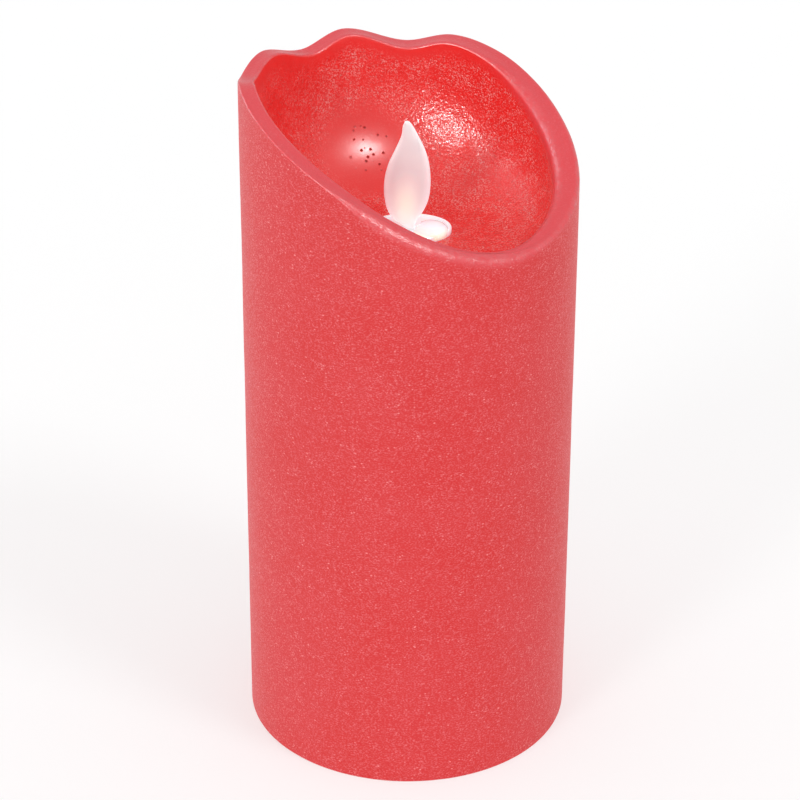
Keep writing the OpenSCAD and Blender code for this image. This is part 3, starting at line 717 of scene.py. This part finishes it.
def bezel_plate():
    """White oval plate: rounded lip, shallow dish, a groove behind the lens and the flame's slot."""
    columns = 144
    verts, painted_slot_shade, grooves = [], [], []
    for c in range(columns):
        a = TAU * c / columns
        for r, z, light, groove in bezel_profile(a):
            verts.append((r * math.cos(a), r * math.sin(a), z))
            painted_slot_shade.append(light)
            grooves.append(groove)
    faces = ring_faces(columns, len(verts) // columns, close_rings=True)
    piece = new_piece("bezel_plate", verts, faces, bezel_look(), "pillar")
    float_attribute(piece, "painted_slot_shade", painted_slot_shade)
    float_attribute(piece, "groove", grooves)
    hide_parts("flame_bezel")


def lens_point(r, a, z):
    """Point of the lens at a distance and angle from its middle, cut back beside the slot."""
    cut_x, cut_y = SLOT_X + LENS_CUT_GAP, -SLOT_Y - LENS_CUT_GAP
    x, y = LENS_X + r * math.cos(a), LENS_Y + r * math.sin(a)
    if x < cut_x and y > cut_y:
        x, y = (cut_x, y) if cut_x - x < y - cut_y else (x, cut_y)
    return x, y, z


def lens_dome():
    """Domed lens with a rolled edge, cut back beside the flame's slot."""
    rings, around = 18, 72
    base = BEZEL_TOP - LENS_SEAT
    profile = []
    for i in range(1, rings + 1):
        t = i / rings * math.pi / 2
        profile.append((LENS_R * math.sin(t) ** 0.85, base + (LENS_HIGH.z - base) * math.cos(t)))
    profile.append((LENS_R, LENS_LOW.z))
    verts = [lens_point(r, TAU * k / around, z) for r, z in profile for k in range(around)]
    faces = ring_faces(len(profile), around, close_rings=False)
    top = len(verts)
    verts.append((LENS_X, LENS_Y, LENS_HIGH.z))
    faces += [(top, k, (k + 1) % around) for k in range(around)]
    faces.append(tuple(top - around + k for k in range(around)))
    piece = new_piece("lens_dome", verts, faces, lens_look(), "pillar")
    fix_normals(piece)
    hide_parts("led_lens")


# ---- Flame ----

def flame_edges(z_mm):
    """Left and right edge of the flame at a height, all in mm."""
    i = max(k for k, row in enumerate(FLAME_ROWS[:-1]) if row[0] <= z_mm or k == 0)
    z0, z1 = FLAME_ROWS[i][0], FLAME_ROWS[i + 1][0]
    t = (z_mm - z0) / (z1 - z0)

    def slope(k, side):
        lo, hi = max(k - 1, 0), min(k + 1, len(FLAME_ROWS) - 1)
        return (FLAME_ROWS[hi][side] - FLAME_ROWS[lo][side]) / (FLAME_ROWS[hi][0] - FLAME_ROWS[lo][0])

    return [
        hermite(FLAME_ROWS[i][side], slope(i, side), FLAME_ROWS[i + 1][side],
                slope(i + 1, side), z1 - z0, t)
        for side in (1, 2)
    ]


def flame_paddle():
    """Frosted paddle, thickest along its middle, tapering into the stem."""
    rows, around = 72, 28
    z_low, z_high = FLAME_ROWS[0][0], FLAME_ROWS[-1][0]
    tip_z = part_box("flame")[1].z
    verts, edges = [], []
    for i in range(rows):
        z = z_low + (z_high - z_low) * i / (rows - 1)
        left, right = (e * MM for e in flame_edges(z))
        middle, width = (left + right) / 2, (right - left) / 2
        thick = FLAME_HALF_T * min(1.0, 0.35 + width / (3.0 * MM))
        for k in range(around):
            a = TAU * k / around
            c, s = math.cos(a), math.sin(a)
            x = middle + width * math.copysign(abs(c) ** 0.9, c)
            verts.append((x, thick * math.copysign(abs(s) ** 0.75, s), z * MM))
            edges.append(abs(c))
    faces = ring_faces(rows, around, close_rings=False)
    left, right = flame_edges(z_high)
    top, bottom = len(verts), len(verts) + 1
    verts += [((left + right) / 2 * MM - 0.1 * MM, 0, tip_z), (0, 0, z_low * MM)]
    edges += [0.5, 0.5]
    last = (rows - 1) * around
    for k in range(around):
        n = (k + 1) % around
        faces += [(last + k, last + n, top), (n, k, bottom)]
    piece = new_piece("flame_paddle", verts, faces, flame_look(), "flame")
    float_attribute(piece, "edge", edges)
    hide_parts("flame")


def lathe(profile, columns, axis, centre):
    """Points and faces of a closed ring: profile (r, h) turned about the Y or Z axis through centre."""
    verts = []
    for c in range(columns):
        a = TAU * c / columns
        for r, h in profile:
            around = (r * math.cos(a), h, r * math.sin(a))
            if axis == "Z":
                around = (around[0], around[2], around[1])
            verts.append(tuple(centre[i] + around[i] for i in range(3)))
    return verts, ring_faces(columns, len(profile), close_rings=True)


def add_part(verts, faces, part):
    """Appends the points and faces of another closed shape."""
    start = len(verts)
    verts += part[0]
    faces += [tuple(i + start for i in face) for face in part[1]]


def rounded_bar(z_low, z_high, half_x, half_y, round_r):
    """Upright bar with rounded edges, closed at both ends."""
    outline = []
    for cx, cy, turn in ((1, 1, 0), (-1, 1, 90), (-1, -1, 180), (1, -1, 270)):
        outline += arc(cx * (half_x - round_r), cy * (half_y - round_r), round_r, turn, turn + 90, 4)
    steps = 12
    heights = [z_low + (z_high - z_low) * i / steps for i in range(steps + 1)]
    verts = [(x, y, z) for z in heights for x, y in outline]
    n = len(outline)
    faces = ring_faces(len(heights), n, close_rings=False)
    faces.append(tuple(range(n))[::-1])
    faces.append(tuple(len(verts) - n + k for k in range(n)))
    return verts, faces


def flame_tail():
    """Stem below the paddle: pivot eye, tail bar and the cup that holds the magnet."""
    magnet_low, magnet_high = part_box("flame_magnet")
    half_t, stem = FLAME_HALF_T, 1.2 * MM
    hole_r, eye_r, bevel = 0.45 * MM, 2.0 * MM, 0.25 * MM
    eye = [
        (hole_r, -half_t + bevel), (hole_r + bevel, -half_t), (eye_r - bevel, -half_t),
        (eye_r, -half_t + bevel), (eye_r, half_t - bevel), (eye_r - bevel, half_t),
        (hole_r + bevel, half_t), (hole_r, half_t - bevel),
    ]
    verts, faces = [], []
    add_part(verts, faces, lathe(eye, 40, "Y", PIVOT))
    add_part(verts, faces, rounded_bar(PIVOT.z + 1.5 * MM, FLAME_ROWS[1][0] * MM, stem, half_t, bevel))
    cup_r, cup_top = magnet_high.x + 0.6 * MM, magnet_high.z + 1.0 * MM
    add_part(verts, faces, rounded_bar(cup_top - 0.3 * MM, PIVOT.z - 1.5 * MM, stem, half_t, bevel))
    cup = [
        (magnet_high.x, magnet_low.z), (cup_r - bevel, magnet_low.z), (cup_r, magnet_low.z + bevel),
        (cup_r, cup_top - bevel), (cup_r - bevel, cup_top), (0.02 * MM, cup_top),
        (0.02 * MM, magnet_high.z), (magnet_high.x, magnet_high.z),
    ]
    add_part(verts, faces, lathe(cup, 48, "Z", (0, 0, 0)))
    piece = new_piece("flame_tail", verts, faces, plastic("tail_plastic", (0.90, 0.84, 0.82)), "flame")
    fix_normals(piece)
    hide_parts("flame")


# ---- Studio ----

CAMERA_ELEVATION = math.radians(28.884)
CAMERA_ROLL = math.radians(0.2045)
CAMERA_DISTANCE = 0.75392
CAMERA_AIM = Vector((-0.00213, 0, 0.08568))
CAMERA_LENS = 138.58


def studio_camera():
    """Camera at the photograph's viewing angle."""
    data = bpy.data.cameras.new("studio_camera")
    data.lens = CAMERA_LENS
    data.sensor_width = 36
    data.clip_start, data.clip_end = 0.01, 20
    camera = bpy.data.objects.new("studio_camera", data)
    bpy.context.scene.collection.objects.link(camera)
    back = Vector((0, -math.cos(CAMERA_ELEVATION), math.sin(CAMERA_ELEVATION)))
    right = Vector((1, 0, 0))
    up = back.cross(right)
    turn = Matrix.Rotation(CAMERA_ROLL, 3, back)
    axes = Matrix((turn @ right, turn @ up, back)).transposed()
    camera.matrix_world = Matrix.Translation(CAMERA_AIM + back * CAMERA_DISTANCE) @ axes.to_4x4()
    bpy.context.scene.camera = camera


def soft_light(name, azimuth, elevation, spread, strength, glint_only=False, tint=(1, 1, 1)):
    """Even light from one side of the tent; azimuth 0 is the camera's side, positive to the right."""
    data = bpy.data.lights.new(name, "SUN")
    data.angle = math.radians(spread)
    data.energy = strength
    data.color = tint
    light = bpy.data.objects.new(name, data)
    bpy.context.scene.collection.objects.link(light)
    light.visible_diffuse = not glint_only
    a, e = math.radians(azimuth), math.radians(elevation)
    away = Vector((math.sin(a) * math.cos(e), -math.cos(a) * math.cos(e), math.sin(e)))
    light.location = away
    light.rotation_mode = "QUATERNION"
    light.rotation_quaternion = away.to_track_quat("Z", "Y")


TENT_STRENGTH = 0.80
FLOOR_GLOW = 0.55


def studio_floor():
    """Pale sweep that keeps a little light of its own, as an overlit backdrop does."""
    look = Look("studio_floor", (0.44, 0.50, 0.50), 1.0, specular_ior_level=0.0)
    cloud = look.noise(3, 2.0)
    look.set("Base Color", look.mix(cloud, (0.435, 0.495, 0.497), (0.445, 0.505, 0.505)))
    look.shader.inputs["Emission Color"].default_value = (1, 0.89, 0.89, 1)
    look.shader.inputs["Emission Strength"].default_value = FLOOR_GLOW
    size = 3.0
    mesh = bpy.data.meshes.new("studio_floor")
    corners = [(-size, -size, 0), (size, -size, 0), (size, size, 0), (-size, size, 0)]
    mesh.from_pydata(corners, [], [(0, 1, 2, 3)])
    floor = bpy.data.objects.new("studio_floor", mesh)
    mesh.materials.append(look.material)
    bpy.context.scene.collection.objects.link(floor)


def studio():
    """White tent, two soft lights, three that only give highlights, and the floor."""
    scene = bpy.context.scene
    scene.view_settings.view_transform = "Standard"
    scene.view_settings.look = "None"
    world = bpy.data.worlds.new("studio_world")
    world.use_nodes = True
    world.node_tree.nodes["Background"].inputs["Color"].default_value = (1, 1, 1, 1)
    world.node_tree.nodes["Background"].inputs["Strength"].default_value = TENT_STRENGTH
    scene.world = world
    soft_light("light_right", 54, 49, 16, 0.54)
    soft_light("light_left", -37, 25, 16, 0.72)
    # The bowl is hollow, so the light on the right glints on its left wall, and the other way round
    soft_light("glint_right", 50, 51.5, 10, 1.5, glint_only=True)
    soft_light("glint_left", -28, 27, 5, 3.0, glint_only=True)
    soft_light("glint_far_left", -105, 15, 60, 2.5, glint_only=True, tint=(0.7, 0.9, 1.0))
    studio_floor()


def dress_cad_nodes():
    """Procedural materials for every node that shows its CAD shape."""
    steel = metal("screw_steel", (0.62, 0.62, 0.63), 0.3)
    nickel = metal("nickel_sheet", (0.70, 0.69, 0.66), 0.25, brushed=(1, 1, 6))
    spring = metal("spring_wire", (0.72, 0.72, 0.73), 0.2)
    base = plastic("base_plastic", (0.78, 0.75, 0.70), 0.5)
    looks = {
        "inner_liner": plastic("liner_plastic", (0.80, 0.78, 0.74)),
        "base_plate": base,
        "battery_door": base,
        "battery_tray": plastic("tray_plastic", (0.74, 0.72, 0.68)),
        "mechanism_case_front": plastic("case_plastic", (0.86, 0.84, 0.80)),
        "mechanism_case_rear": plastic("case_plastic_rear", (0.84, 0.82, 0.78)),
        "led_lamp": plastic("led_epoxy", (0.95, 0.86, 0.62), 0.15, depth=0.005, transmission_weight=0.5),
        "battery_front": cell_look(),
        "battery_rear": cell_look(),
        "switch_body": metal("switch_metal", (0.58, 0.59, 0.60), 0.35, brushed=(8, 1, 1)),
        "switch_knob": plastic("knob_plastic", (0.02, 0.02, 0.022), 0.4, grain=2200),
        "coil_bobbin": plastic("bobbin_plastic", (0.025, 0.025, 0.027), 0.45),
        "coil_winding": winding_look(),
        "coil_core": metal("core_iron", (0.30, 0.30, 0.31), 0.45),
        "control_board": board_look(),
        "controller_chip": plastic("chip_epoxy", (0.015, 0.015, 0.017), 0.55, grain=3000),
        "board_parts": plastic("small_parts", (0.05, 0.08, 0.14), 0.35),
        "flame_magnet": metal("magnet_nickel", (0.62, 0.61, 0.60), 0.15),
        "pivot_wire": spring,
        "contact_spring_front": spring,
        "contact_spring_rear": spring,
        "bridge_contact": nickel,
        "contact_plate_front": nickel,
        "contact_plate_rear": nickel,
        "wire_battery_positive": plastic("red_insulation", (0.50, 0.02, 0.02), 0.35),
        "wire_battery_negative": plastic("black_insulation", (0.02, 0.02, 0.02), 0.35),
        "wires_switch": plastic("yellow_insulation", (0.62, 0.42, 0.04), 0.35),
        "wires_led": plastic("white_insulation", (0.78, 0.76, 0.70), 0.35),
        "wires_coil": metal("coil_lead", (0.60, 0.22, 0.07), 0.25),
    }
    for name, obj in frame["nodes"].items():
        look = looks.get(name, steel)
        obj.data.materials.clear()
        obj.data.materials.append(look)


studio_camera()
studio()
dress_cad_nodes()
wax_shell()
bezel_plate()
lens_dome()
flame_paddle()
flame_tail()


def corners(box):
    return [list(box[0]), list(box[1])]
